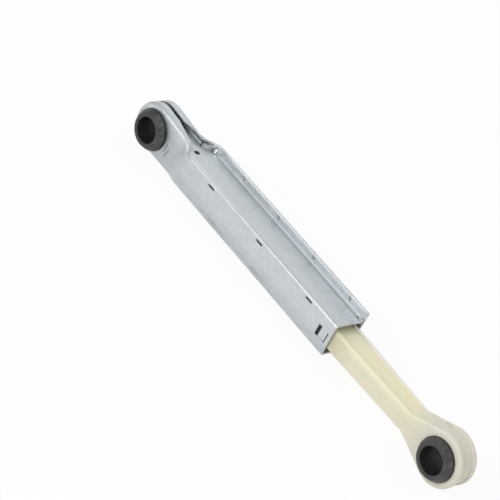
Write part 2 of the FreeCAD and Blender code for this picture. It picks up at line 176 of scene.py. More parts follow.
class Graph:
    """Node tree of one material, with short calls for the nodes used here."""

    def __init__(self, name: str) -> None:
        """Starts an empty material.

        Args:
            name: Name of the material.
        """
        self.material = bpy.data.materials.new(name)
        self.material.use_nodes = True
        self.tree = self.material.node_tree
        self.tree.nodes.clear()
        self.output = self.tree.nodes.new("ShaderNodeOutputMaterial")
        self.measures: dict[Along, Socket] = {}

    def node(self, kind: str, inputs: dict | None = None, **settings: object) -> bpy.types.Node:
        """Adds one node.

        Args:
            kind: Type of the node, without its ShaderNode prefix.
            inputs: Values or sockets for the node's inputs, by name or number.
            **settings: Properties of the node.

        Returns:
            The new node.
        """
        node = self.tree.nodes.new("ShaderNode" + kind)
        for key, value in settings.items():
            setattr(node, key, value)
        for key, value in (inputs or {}).items():
            self.feed(node.inputs[key], value)
        return node

    def feed(self, socket: Socket, value: object) -> None:
        """Links a socket to another, or sets its value.

        Args:
            socket: Input to fill.
            value: Output socket, number, colour or vector.
        """
        if isinstance(value, bpy.types.NodeSocket):
            self.tree.links.new(value, socket)
        elif isinstance(value, (tuple, list)) and socket.type == "RGBA" and len(value) == 3:
            socket.default_value = (*value, 1.0)
        else:
            socket.default_value = value

    def place(self, stretch: Triple = (1.0, 1.0, 1.0)) -> Socket:
        """Object coordinates, each times its factor."""
        coordinates = self.node("TexCoord").outputs["Object"]
        return self.node("Mapping", {"Vector": coordinates, "Scale": stretch}).outputs["Vector"]

    def noise(self, grain: Grain) -> Socket:
        """Noise value around one half, in the pattern of a grain."""
        inputs = {"Scale": grain.cells, "Detail": grain.layers, "Roughness": grain.rough}
        return self.node("TexNoise", {"Vector": self.place(grain.stretch), **inputs}).outputs["Fac"]

    def span(self, value: Socket, ramp: Ramp, unit: float = 1.0) -> Socket:
        """Value moved along a ramp.

        Args:
            value: Value to move.
            ramp: Ramp to follow.
            unit: Size of one step of the ramp's limits.

        Returns:
            Value socket.
        """
        limits = {"From Min": ramp.low * unit, "From Max": ramp.high * unit}
        results = {"To Min": ramp.to_low, "To Max": ramp.to_high}
        inputs = {"Value": value, **limits, **results}
        return self.node("MapRange", inputs, interpolation_type="SMOOTHSTEP").outputs["Result"]

    def measure(self, along: Along) -> Socket:
        """Measure of the surface, made once in a tree.

        Args:
            along: Which measure.

        Returns:
            Value socket.
        """
        if along not in self.measures:
            source, way, _ = along.value
            place = self.node("TexCoord").outputs[source]
            inputs = {0: place, 1: way}
            self.measures[along] = self.node("VectorMath", inputs, operation="DOT_PRODUCT").outputs["Value"]
        return self.measures[along]

    def zone(self, *reaches: Reach) -> Socket:
        """Share of a zone, the product of its reaches."""
        shares = (self.span(self.measure(each.along), each, each.along.unit) for each in reaches)
        return self.product(*shares)

    def reckon(self, operation: str, first: object, second: object = 0.0) -> Socket:
        """Result of one operation, such as ADD, on two values or sockets."""
        return self.node("Math", {0: first, 1: second}, operation=operation).outputs["Value"]

    def product(self, *values: object) -> Socket:
        """Values or sockets multiplied with each other."""
        return reduce(partial(self.reckon, "MULTIPLY"), values)

    def greatest(self, *values: object) -> Socket:
        """Greatest of values or sockets."""
        return reduce(partial(self.reckon, "MAXIMUM"), values)

    def radius(self, x: Socket) -> Socket:
        """Distance from an axis along Y, for a distance from it along X."""
        z = self.measure(Along.Z)
        return self.reckon("SQRT", self.reckon("ADD", self.product(x, x), self.product(z, z)))

    def tint(self, share: object, first: object, second: object) -> Socket:
        """Colour between two colours.

        Args:
            share: Share of the second colour.
            first: Colour or socket.
            second: Colour or socket.

        Returns:
            Colour socket.
        """
        node = self.node("Mix", data_type="RGBA", blend_type="MIX")
        for number, value in ((0, share), (6, first), (7, second)):
            self.feed(node.inputs[number], value)
        return node.outputs[2]

    def bump(self, height: Socket, relief: Relief, below: Socket | None = None) -> Socket:
        """Surface normal that follows a height.

        Args:
            height: Height from 0 to 1.
            relief: Depth and share of the effect.
            below: Normal to start from.

        Returns:
            Normal socket.
        """
        inputs: dict = {"Height": height, "Distance": relief.depth * MM, "Strength": relief.share}
        if below is not None:
            inputs["Normal"] = below
        return self.node("Bump", inputs).outputs["Normal"]

    def surface(self, inputs: dict) -> bpy.types.Material:
        """Ends the tree in the standard shader.

        Args:
            inputs: Values or sockets of the shader.

        Returns:
            The finished material.
        """
        shader = self.node("BsdfPrincipled", inputs)
        self.tree.links.new(shader.outputs["BSDF"], self.output.inputs["Surface"])
        return self.material


@dataclass(frozen=True)
class Crease:
    """Press mark in an arc about the bush, in millimetres, with its two ends."""

    radius: float
    half_width: float
    ends: Zone


@dataclass(frozen=True)
class GalvanisedSteel:
    """Zinc-coated sheet: faint spangle, rolling streaks, scuffs and press marks on the ear, with painted
    shade and painted highlights.
    """

    base: Colour = (0.60, 0.635, 0.655)
    dull: Colour = (0.50, 0.535, 0.555)
    bright: Colour = (0.70, 0.73, 0.745)
    # Scuffs and press marks, and painted shade in the seam's valley and on the near side
    grime_and_shade: Colour = (0.30, 0.315, 0.32)
    shade: Colour = (0.20, 0.21, 0.205)
    # Painted highlights and painted light
    painted_light_colour: Colour = (0.90, 0.915, 0.92)
    base_share: float = 0.7
    metallic: float = 0.9

    # Spangle and streaks
    crystal_cells: float = 420.0
    crystal_share: float = 0.35
    cloud: Grain = Grain(90.0, 4.0)
    spangle_tint: Ramp = Ramp(0.3, 0.7)
    spangle_rough: Ramp = Ramp(0.3, 0.7, 0.38, 0.45)
    streak: Grain = Grain(900.0, 4.0, 0.6, (0.05, 1.0, 1.0))
    streak_tint: Ramp = Ramp(0.35, 0.75, 0.0, 0.22)
    streak_relief: Relief = Relief(0.02, 0.18)
    waves: Grain = Grain(140.0, 2.0)
    waves_relief: Relief = Relief(0.10, 0.22)

    # Press marks beside the bush on the near ear
    crease_marks: tuple[Crease, ...] = (
        Crease(14.6, 0.55, (rise(Along.Z, -5.0, -3.6), fall(Along.Z, 0.6, 2.2))),
        Crease(16.8, 0.75, (rise(Along.Z, -7.0, -5.6), fall(Along.Z, -1.0, 0.6))),
    )
    crease_core: float = 0.3
    crease_side: Zone = (rise(Along.X, 9.0, 11.0), fall(Along.Y, -6.0, -5.0))
    crease_tint: float = 0.5
    crease_relief: Relief = Relief(0.25, 0.8)
    wobble: Grain = Grain(160.0, 2.0)
    wobble_width: float = 1.4 * MM

    # Scuffs on the lower bend, and painted shade in the valley of the seam
    patch: Grain = Grain(260.0, 5.0, 0.65, (0.35, 1.0, 1.0))
    patch_edge: Ramp = Ramp(0.46, 0.60)
    low_bend: Zone = (fall(Along.Z, -8.9, -7.6), rise(Along.X, 40.0, 60.0))
    scuff_band: Zone = (
        rise(Along.Z, -7.8, -7.0),
        fall(Along.Z, -6.4, -5.6),
        rise(Along.X, 45.0, 58.0),
        fall(Along.X, 104.0, 118.0),
        fall(Along.Y, -9.0, -8.0, 0.9),
    )
    scuff_film: float = 0.22
    valley: Zone = (
        rise(Along.Y, 5.8, 7.8),
        fall(Along.Y, 8.3, 8.7),
        rise(Along.Z, 9.0, 9.6),
        fall(Along.Z, 10.2, 11.2, 0.8),
    )
    scuff_and_shade_tint: float = 0.55
    scuff_and_shade_rough: float = 0.15

    # Painted shade on the sheet in the opening between the ears, and painted shadow along the cut edge of
    # the far rim
    opening: Zone = (
        rise(Along.Z, 7.3, 7.6),
        fall(Along.Z, 11.5, 12.0),
        rise(Along.Y, -6.0, -5.4),
        fall(Along.Y, 8.3, 8.9),
        fall(Along.FACING_Y, 0.3, 0.6),
        rise(Along.NOTCH_SIDE, NOTCH_LINE - 0.15, NOTCH_LINE + 0.1),
    )
    opening_depth: Reach = fall(Along.X, 10.0, 18.0, 0.72, 0.22)
    opening_end: Reach = rise(Along.X, 23.6, 24.4, 0.3)
    far_rim: Zone = (
        fall(Along.FACING_Y, -0.7, -0.35, 0.75),
        rise(Along.Y, 1.5, 2.5),
        rise(Along.X, 12.0, 17.0),
        fall(Along.X, 27.0, 30.0),
        rise(Along.Z, 10.8, 11.2),
    )
    opening_shade_rough: float = 0.4

    # Painted highlights on the flange's top, the near folds and the web, and painted light on the seam's
    # end
    flange_top: Zone = (
        rise(Along.Z, 14.05, 14.2),
        rise(Along.X, 28.0, 36.0),
        fall(Along.Y, 9.0, 9.8, 1.0, 0.35),
    )
    top_fold: Zone = (
        rise(Along.TOP_FOLD, 13.75, 14.1),
        rise(Along.X, 27.0, 32.0),
        fall(Along.X, 45.0, 105.0, 0.55, 0.12),
    )
    ear_fold: Zone = (
        rise(Along.EAR_FOLD, 19.0, 19.5),
        rise(Along.X, 2.0, 8.0, 0.55),
        fall(Along.X, 24.5, 26.5),
    )
    fold_side: Reach = fall(Along.Y, -5.2, -4.6)
    web: Zone = (
        rise(Along.X, 60.0, 150.0, 0.25),
        fall(Along.Y, -5.0, 1.0),
        rise(Along.Z, 9.5, 9.7),
    )
    seam_end: Zone = (
        rise(Along.X, 150.0, 154.0),
        rise(Along.Y, 8.8, 9.0),
        fall(Along.FACING_Y, -0.8, -0.5),
        rise(Along.Z, 5.0, 8.0),
    )

    # Painted shade on the near side, towards the ear and low on the wall
    near_ear: Zone = (
        fall(Along.X, 8.0, 45.0, 0.42),
        fall(Along.Y, -6.35, -6.0),
        fall(Along.Z, 4.0, 10.0),
    )
    near_low: Zone = (fall(Along.Z, -7.0, 1.0, 0.30), fall(Along.Y, -8.5, -7.5))

    def spangle(self, graph: Graph) -> Socket:
        """Share of brightness from the zinc's crystals, around one half.

        Args:
            graph: Tree of the material.

        Returns:
            Value socket.
        """
        cells = graph.node("TexVoronoi", {"Vector": graph.place(), "Scale": self.crystal_cells})
        grey = graph.node("SeparateColor", {"Color": cells.outputs["Color"]}).outputs["Red"]
        crystals = graph.product(grey, self.crystal_share)
        clouds = graph.product(graph.noise(self.cloud), 1.0 - self.crystal_share)
        return graph.reckon("ADD", crystals, clouds)

    def creases(self, graph: Graph) -> Socket:
        """Press marks in arcs beside the bush on the near ear, 1 in their middle.

        Args:
            graph: Tree of the material.

        Returns:
            Value socket.
        """
        wobble = graph.product(graph.noise(self.wobble), self.wobble_width)
        radius = graph.reckon("ADD", graph.radius(graph.measure(Along.X)), wobble)
        lines = []
        for mark in self.crease_marks:
            off = graph.reckon("ABSOLUTE", graph.reckon("SUBTRACT", radius, mark.radius * MM))
            width = Ramp(self.crease_core * mark.half_width, mark.half_width, 1.0, 0.0)
            lines.append(graph.product(graph.span(off, width, MM), graph.zone(*mark.ends)))
        return graph.product(graph.greatest(*lines), graph.zone(*self.crease_side))

    def scuffs_and_valley_shade(self, graph: Graph) -> Socket:
        """Scuffs along the lower bend, and painted shade in the valley of the seam flange.

        Args:
            graph: Tree of the material.

        Returns:
            Value socket.
        """
        patch = graph.span(graph.noise(self.patch), self.patch_edge)
        scuff = graph.zone(*self.scuff_band)
        scuffs = graph.product(graph.reckon("ADD", graph.zone(*self.low_bend), scuff), patch)
        return graph.greatest(scuffs, graph.product(scuff, self.scuff_film), graph.zone(*self.valley))

    def painted_shade_in_opening(self, graph: Graph) -> Socket:
        """Share of painted shade on the sheet between the ears, darker towards the bush, and of painted
        shadow along the far rim's edge.
        """
        depth = graph.reckon("ADD", graph.zone(self.opening_depth), graph.zone(self.opening_end))
        return graph.greatest(graph.product(graph.zone(*self.opening), depth), graph.zone(*self.far_rim))

    def painted_light(self, graph: Graph) -> Socket:
        """Share of painted highlights on the seam flange's top, the near top folds and the web, and of
        painted light on the seam's end.

        Args:
            graph: Tree of the material.

        Returns:
            Value socket.
        """
        folds = graph.greatest(graph.zone(*self.top_fold), graph.zone(*self.ear_fold))
        folds = graph.product(folds, graph.zone(self.fold_side))
        others = (graph.zone(*zone) for zone in (self.flange_top, self.web, self.seam_end))
        return graph.greatest(folds, *others)

    def painted_near_shade(self, graph: Graph) -> Socket:
        """Share of painted shade on the near side, towards the ear and along the lower bend."""
        return graph.greatest(graph.zone(*self.near_ear), graph.zone(*self.near_low))

    def material(self) -> bpy.types.Material:
        """Builds the material.

        Returns:
            The finished material.
        """
        graph = Graph("galvanised_steel")
        spangle, streak = self.spangle(graph), graph.noise(self.streak)
        scuffs_and_valley_shade, creases, painted_shade_in_opening = self.scuffs_and_valley_shade(graph), self.creases(graph), self.painted_shade_in_opening(graph)
        colour = graph.tint(graph.span(spangle, self.spangle_tint), self.dull, self.bright)
        colour = graph.tint(self.base_share, colour, self.base)
        colour = graph.tint(graph.span(streak, self.streak_tint), colour, self.bright)
        # Scuffs, and painted shade in the seam's valley
        colour = graph.tint(graph.product(scuffs_and_valley_shade, self.scuff_and_shade_tint), colour, self.grime_and_shade)
        # Painted shade on the near side
        colour = graph.tint(self.painted_near_shade(graph), colour, self.grime_and_shade)
        colour = graph.tint(graph.product(creases, self.crease_tint), colour, self.grime_and_shade)
        # Painted shade in the opening and painted shadow along the far rim's edge
        colour = graph.tint(painted_shade_in_opening, colour, self.shade)
        # Painted highlights and painted light
        colour = graph.tint(self.painted_light(graph), colour, self.painted_light_colour)
        worn = graph.product(scuffs_and_valley_shade, self.scuff_and_shade_rough), graph.product(painted_shade_in_opening, self.opening_shade_rough)
        rough = graph.reckon("ADD", graph.span(spangle, self.spangle_rough), graph.greatest(*worn))
        normal = graph.bump(creases, self.crease_relief)
        normal = graph.bump(streak, self.streak_relief, normal)
        normal = graph.bump(graph.noise(self.waves), self.waves_relief, normal)
        look = {"Base Color": colour, "Metallic": self.metallic, "Roughness": rough, "Normal": normal}
        return graph.surface(look)


@dataclass(frozen=True)
class WeldedSteel:
    """Spot weld on zinc-coated sheet: dull middle and a mottled ring."""

    pale: Colour = (0.56, 0.58, 0.59)
    burnt: Colour = (0.27, 0.28, 0.285)
    mottle: Grain = Grain(900.0, 4.0, 0.7)
    mottle_tint: Ramp = Ramp(0.38, 0.62)
    mottle_rough: Ramp = Ramp(0.3, 0.7, 0.6, 0.4)
    mottle_relief: Relief = Relief(0.08, 0.6)
    metallic: float = 0.85

    def material(self) -> bpy.types.Material:
        """Builds the material.

        Returns:
            The finished material.
        """
        graph = Graph("spot_weld")
        mottle = graph.noise(self.mottle)
        colour = graph.tint(graph.span(mottle, self.mottle_tint), self.burnt, self.pale)
        normal = graph.bump(mottle, self.mottle_relief)
        rough = graph.span(mottle, self.mottle_rough)
        look = {"Base Color": colour, "Metallic": self.metallic, "Roughness": rough, "Normal": normal}
        return graph.surface(look)


@dataclass(frozen=True)
class NaturalNylon:
    """Undyed nylon: ivory, a little see-through and yellower in the channel, with painted shade on its
    sides and eye end, painted shadow by the mouth and painted shade inside the housing.
    """

    ivory: Colour = (0.86, 0.83, 0.72)
    honey: Colour = (0.88, 0.815, 0.46)
    pale: Colour = (0.89, 0.87, 0.80)
    # Painted shade on the faces that look sideways
    side: Colour = (0.71, 0.67, 0.515)
    # Painted shade towards the eye end
    eye: Colour = (0.66, 0.64, 0.565)
    # Painted shadow of the housing on the rod by the mouth
    olive: Colour = (0.50, 0.475, 0.31)
    # Painted shade on the rod's sides inside the housing
    grease: Colour = (0.13, 0.12, 0.085)

    # Cloudy body
    cloud: Grain = Grain(70.0, 4.0, 0.6, (0.5, 1.0, 1.0))
    cloud_tint: Ramp = Ramp(0.3, 0.7)
    cloud_honey: Ramp = Ramp(0.2, 0.8, 0.65, 0.3)
    cloud_rough: Ramp = Ramp(0.3, 0.7, 0.50, 0.58)
    cloud_relief: Relief = Relief(0.2, 0.3)
    moulded: Grain = Grain(1500.0, 3.0)
    moulded_relief: Relief = Relief(0.03, 0.4)

    # Channel, painted shade on the sides and towards the eye, painted shadow by the mouth and painted shade
    # inside the housing
    channel: Reach = fall(Along.Y, 3.9, 5.4)
    # Painted shade on the side faces, lighter towards the top
    side_turn: Ramp = Ramp(0.5, 0.9)
    side_level: Reach = fall(Along.Z, 1.5, 5.0, 0.88, 0.55)
    # Painted shade towards the eye end
    eye_end: Reach = rise(Along.X, 208.0, 232.0, 0.7)
    smear: Grain = Grain(140.0, 4.0, 0.6, (0.4, 1.0, 1.0))
    smear_share: Ramp = Ramp(0.3, 0.7, 0.6, 1.0)
    # Painted shadow of the housing by the mouth
    mouth_shadow_end: Reach = fall(Along.X, 159.0, 177.0, 0.7)
    mouth_shadow_side: Ramp = Ramp(0.0, 1.0, 0.15, 1.0)
    # Painted shade on the rod inside the housing
    inside_shade_end: Reach = fall(Along.X, 154.0, 158.5, 0.95)

    # Light in and on the nylon
    ior: float = 1.53
    specular: float = 0.35
    scatter: float = 0.35
    scatter_radius: Triple = (1.0, 0.95, 0.8)
    scatter_depth: float = 3.0 * MM

    def material(self) -> bpy.types.Material:
        """Builds the material.

        Returns:
            The finished material.
        """
        graph = Graph("natural_nylon")
        cloud = graph.noise(self.cloud)
        beside = graph.span(graph.reckon("ABSOLUTE", graph.measure(Along.FACING_Y)), self.side_turn)
        smear = graph.span(graph.noise(self.smear), self.smear_share)
        colour = graph.tint(graph.span(cloud, self.cloud_tint), self.ivory, self.pale)
        honey = graph.product(graph.zone(self.channel), graph.span(cloud, self.cloud_honey))
        colour = graph.tint(honey, colour, self.honey)
        # Painted shade on the sides, then towards the eye
        colour = graph.tint(graph.product(beside, graph.zone(self.side_level)), colour, self.side)
        colour = graph.tint(graph.zone(self.eye_end), colour, self.eye)
        # Painted shadow by the mouth, then painted shade inside the housing
        mouth_shadow = graph.product(graph.zone(self.mouth_shadow_end), smear, graph.span(beside, self.mouth_shadow_side))
        colour = graph.tint(mouth_shadow, colour, self.olive)
        colour = graph.tint(graph.product(graph.zone(self.inside_shade_end), smear, beside), colour, self.grease)
        normal = graph.bump(graph.noise(self.moulded), self.moulded_relief)
        return graph.surface(
            {
                "Base Color": colour,
                "Roughness": graph.span(cloud, self.cloud_rough),
                "Normal": graph.bump(cloud, self.cloud_relief, normal),
                "IOR": self.ior,
                "Specular IOR Level": self.specular,
                "Subsurface Weight": self.scatter,
                "Subsurface Radius": self.scatter_radius,
                "Subsurface Scale": self.scatter_depth,
            }
        )


@dataclass(frozen=True)
class MouldedRubber:
    """Black rubber, greyed by dust and with a fine moulded grain. Limits of radius are in millimetres."""

    black: Colour = (0.026, 0.026, 0.027)
    worn: Colour = (0.056, 0.055, 0.054)
    # Painted shade in the bore and painted shadow round the flange's outer edge
    bore: Colour = (0.009, 0.009, 0.0095)
    dust: Colour = (0.135, 0.128, 0.115)
    cloud: Grain = Grain(240.0, 5.0, 0.65)
    cloud_tint: Ramp = Ramp(0.35, 0.68)
    cloud_rough: Ramp = Ramp(0.3, 0.7, 0.46, 0.62)
    cloud_relief: Relief = Relief(0.15, 0.25)
    moulded: Grain = Grain(2600.0, 3.0)
    moulded_relief: Relief = Relief(0.05, 0.5)
    collar_in: Ramp = Ramp(9.4, 10.0)
    collar_out: Ramp = Ramp(10.9, 11.1, 1.0, 0.0)
    streak: Grain = Grain(620.0, 4.0, 0.7, (1.0, 0.5, 1.0))
    streak_edge: Ramp = Ramp(0.42, 0.62)
    patch: Grain = Grain(110.0, 2.0)
    patch_edge: Ramp = Ramp(0.32, 0.58, 0.0, 0.6)
    # Painted shade in the bore and painted shadow round the flange's outer edge
    bore_shade: Ramp = Ramp(7.05, 7.5, 1.0, 0.0)
    rim_shadow: Ramp = Ramp(10.95, 11.2, 0.0, 0.8)
    ior: float = 1.5

    def radius(self, graph: Graph) -> Socket:
        """Distance from the nearer bore's axis.

        Args:
            graph: Tree of the material.

        Returns:
            Value socket.
        """
        x = graph.measure(Along.X)
        upper = graph.reckon("ABSOLUTE", x)
        lower = graph.reckon("ABSOLUTE", graph.reckon("SUBTRACT", x, EYE_DISTANCE))
        return graph.radius(graph.reckon("MINIMUM", upper, lower))

    def dusty(self, graph: Graph, radius: Socket) -> Socket:
        """Share of dust in streaks on the sloping collar.

        Args:
            graph: Tree of the material.
            radius: Distance from the bore's axis.

        Returns:
            Value socket.
        """
        collar = (graph.span(radius, ramp, MM) for ramp in (self.collar_in, self.collar_out))
        streak = graph.span(graph.noise(self.streak), self.streak_edge)
        return graph.product(*collar, streak, graph.span(graph.noise(self.patch), self.patch_edge))

    def material(self) -> bpy.types.Material:
        """Builds the material.

        Returns:
            The finished material.
        """
        graph = Graph("moulded_rubber")
        radius = self.radius(graph)
        cloud = graph.noise(self.cloud)
        colour = graph.tint(graph.span(cloud, self.cloud_tint), self.black, self.worn)
        colour = graph.tint(self.dusty(graph, radius), colour, self.dust)
        unlit = graph.greatest(*(graph.span(radius, ramp, MM) for ramp in (self.bore_shade, self.rim_shadow)))
        colour = graph.tint(unlit, colour, self.bore)
        rough = graph.span(cloud, self.cloud_rough)
        normal = graph.bump(graph.noise(self.moulded), self.moulded_relief)
        normal = graph.bump(cloud, self.cloud_relief, normal)
        return graph.surface({"Base Color": colour, "Roughness": rough, "Normal": normal, "IOR": self.ior})


@dataclass(frozen=True)
class LinerPlastic:
    """Black moulded plastic of the slide liners, with a smear of grease."""

    black: Colour = (0.008, 0.008, 0.0085)
    greased: Colour = (0.014, 0.0135, 0.0125)
    smear: Grain = Grain(120.0, 4.0, 0.55, (0.3, 1.0, 1.0))
    smear_edge: Ramp = Ramp(0.45, 0.65)
    smear_rough: Ramp = Ramp(0.0, 1.0, 0.48, 0.30)
    moulded: Grain = Grain(1400.0, 2.0)
    moulded_relief: Relief = Relief(0.03, 0.4)

    def material(self) -> bpy.types.Material:
        """Builds the material.

        Returns:
            The finished material.
        """
        graph = Graph("liner_plastic")
        smear = graph.span(graph.noise(self.smear), self.smear_edge)
        colour = graph.tint(smear, self.black, self.greased)
        rough = graph.span(smear, self.smear_rough)
        normal = graph.bump(graph.noise(self.moulded), self.moulded_relief)
        return graph.surface({"Base Color": colour, "Roughness": rough, "Normal": normal})


@dataclass(frozen=True)
class GreasedFelt:
    """Dark felt of the friction pads, matted with grease."""

    dark: Colour = (0.10, 0.093, 0.085)
    pale: Colour = (0.20, 0.19, 0.175)
    fibre: Grain = Grain(1800.0, 6.0, 0.75, (1.0, 0.35, 1.0))
    fibre_tint: Ramp = Ramp(0.35, 0.7)
    fibre_rough: Ramp = Ramp(0.3, 0.7, 0.7, 0.92)
    fibre_relief: Relief = Relief(0.2, 0.8)
    sheen: float = 0.15

    def material(self) -> bpy.types.Material:
        """Builds the material.

        Returns:
            The finished material.
        """
        graph = Graph("greased_felt")
        fibre = graph.noise(self.fibre)
        colour = graph.tint(graph.span(fibre, self.fibre_tint), self.dark, self.pale)
        normal = graph.bump(fibre, self.fibre_relief)
        rough = graph.span(fibre, self.fibre_rough)
        look = {"Base Color": colour, "Roughness": rough, "Normal": normal, "Sheen Weight": self.sheen}
        return graph.surface(look)


def finish_piece(
    mesh: bmesh.types.BMesh, name: str, material: bpy.types.Material, smooth_deg: float
) -> bpy.types.Object:
    """Turns a bmesh into a shaded object at the origin.

    Args:
        mesh: Mesh of the piece, with its place in its vertices.
        name: Name of the object.
        material: Finish of the piece.
        smooth_deg: Edges flatter than this are shaded smooth.

    Returns:
        The new object.
    """
    data = bpy.data.meshes.new(name)
    mesh.to_mesh(data)
    mesh.free()
    data.shade_smooth()
    data.set_sharp_from_angle(angle=math.radians(smooth_deg))
    data.materials.append(material)
    piece = bpy.data.objects.new(name, data)
    bpy.context.scene.collection.objects.link(piece)
    return piece


def merged_copy(node: str) -> bmesh.types.BMesh:
    """Copy of a frame node with its loose triangles joined.

    Args:
        node: Name of the node.

    Returns:
        The joined mesh.
    """
    mesh = bmesh.new()
    mesh.from_mesh(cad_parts[node].data)
    bmesh.ops.remove_doubles(mesh, verts=mesh.verts[:], dist=JOIN_GAP)
    return mesh


def make_whole(mesh: bmesh.types.BMesh, edges: Iterable[bmesh.types.BMEdge], flat_deg: float) -> None:
    """Joins the triangles of flat faces.

    Args:
        mesh: Mesh to work on.
        edges: Edges that may go.
        flat_deg: Faces that meet at less than this are made one.
    """
    chosen = list(edges)
    verts = list({vert for edge in chosen for vert in edge.verts})
    bmesh.ops.dissolve_limit(
        mesh,
        angle_limit=math.radians(flat_deg),
        use_dissolve_boundaries=False,
        verts=verts,
        edges=chosen,
    )


def even_shading(piece: bpy.types.Object) -> None:
    """Keeps flat faces evenly shaded up to their bends.

    Args:
        piece: Object to finish.
    """
    modifier = piece.modifiers.new("even_shading", "WEIGHTED_NORMAL")
    modifier.mode = "FACE_AREA"
    modifier.weight = 100
    modifier.keep_sharp = True


def soften(mesh: bmesh.types.BMesh, edges: Iterable[bmesh.types.BMEdge], width: float, strips: int) -> None:
    """Rounds edges.

    Args:
        mesh: Mesh to work on.
        edges: Edges to round.
        width: Set-back of the rounding, in metres.
        strips: Number of strips in the rounding.
    """
    bmesh.ops.bevel(
        mesh,
        geom=list(edges),
        offset=width,
        offset_type="OFFSET",
        affect="EDGES",
        segments=strips,
        profile=0.5,
        material=-1,
        clamp_overlap=False,
    )


def corner_edges(mesh: bmesh.types.BMesh, angle_deg: float) -> list[bmesh.types.BMEdge]:
    """Edges where two faces meet at more than an angle.

    Args:
        mesh: Mesh to search.
        angle_deg: Smallest angle between the faces' normals.

    Returns:
        The edges found.
    """
    limit = math.radians(angle_deg)
    return [e for e in mesh.edges if len(e.link_faces) == 2 and e.calc_face_angle(0.0) > limit]


def turned(profile: Sequence[tuple[float, float]], steps: int) -> bmesh.types.BMesh:
    """Closed ring spun about the Y axis from an outline of (radius, y) corners.

    Args:
        profile: Corners of the outline, in metres.
        steps: Number of steps of the spin.

    Returns:
        The spun mesh.
    """
    mesh = bmesh.new()
    corners = [mesh.verts.new((radius, y, 0.0)) for radius, y in profile]
    edges = [mesh.edges.new((a, b)) for a, b in zip(corners, corners[1:] + corners[:1])]
    bmesh.ops.spin(
        mesh,
        geom=corners + edges,
        cent=(0.0, 0.0, 0.0),
        axis=(0.0, 1.0, 0.0),
        angle=2.0 * math.pi,
        steps=steps,
        use_merge=True,
        use_duplicate=False,
    )
    bmesh.ops.remove_doubles(mesh, verts=mesh.verts[:], dist=JOIN_GAP)
    bmesh.ops.delete(mesh, geom=[edge for edge in mesh.edges if not edge.link_faces], context="EDGES")
    bmesh.ops.recalc_face_normals(mesh, faces=mesh.faces[:])
    return mesh


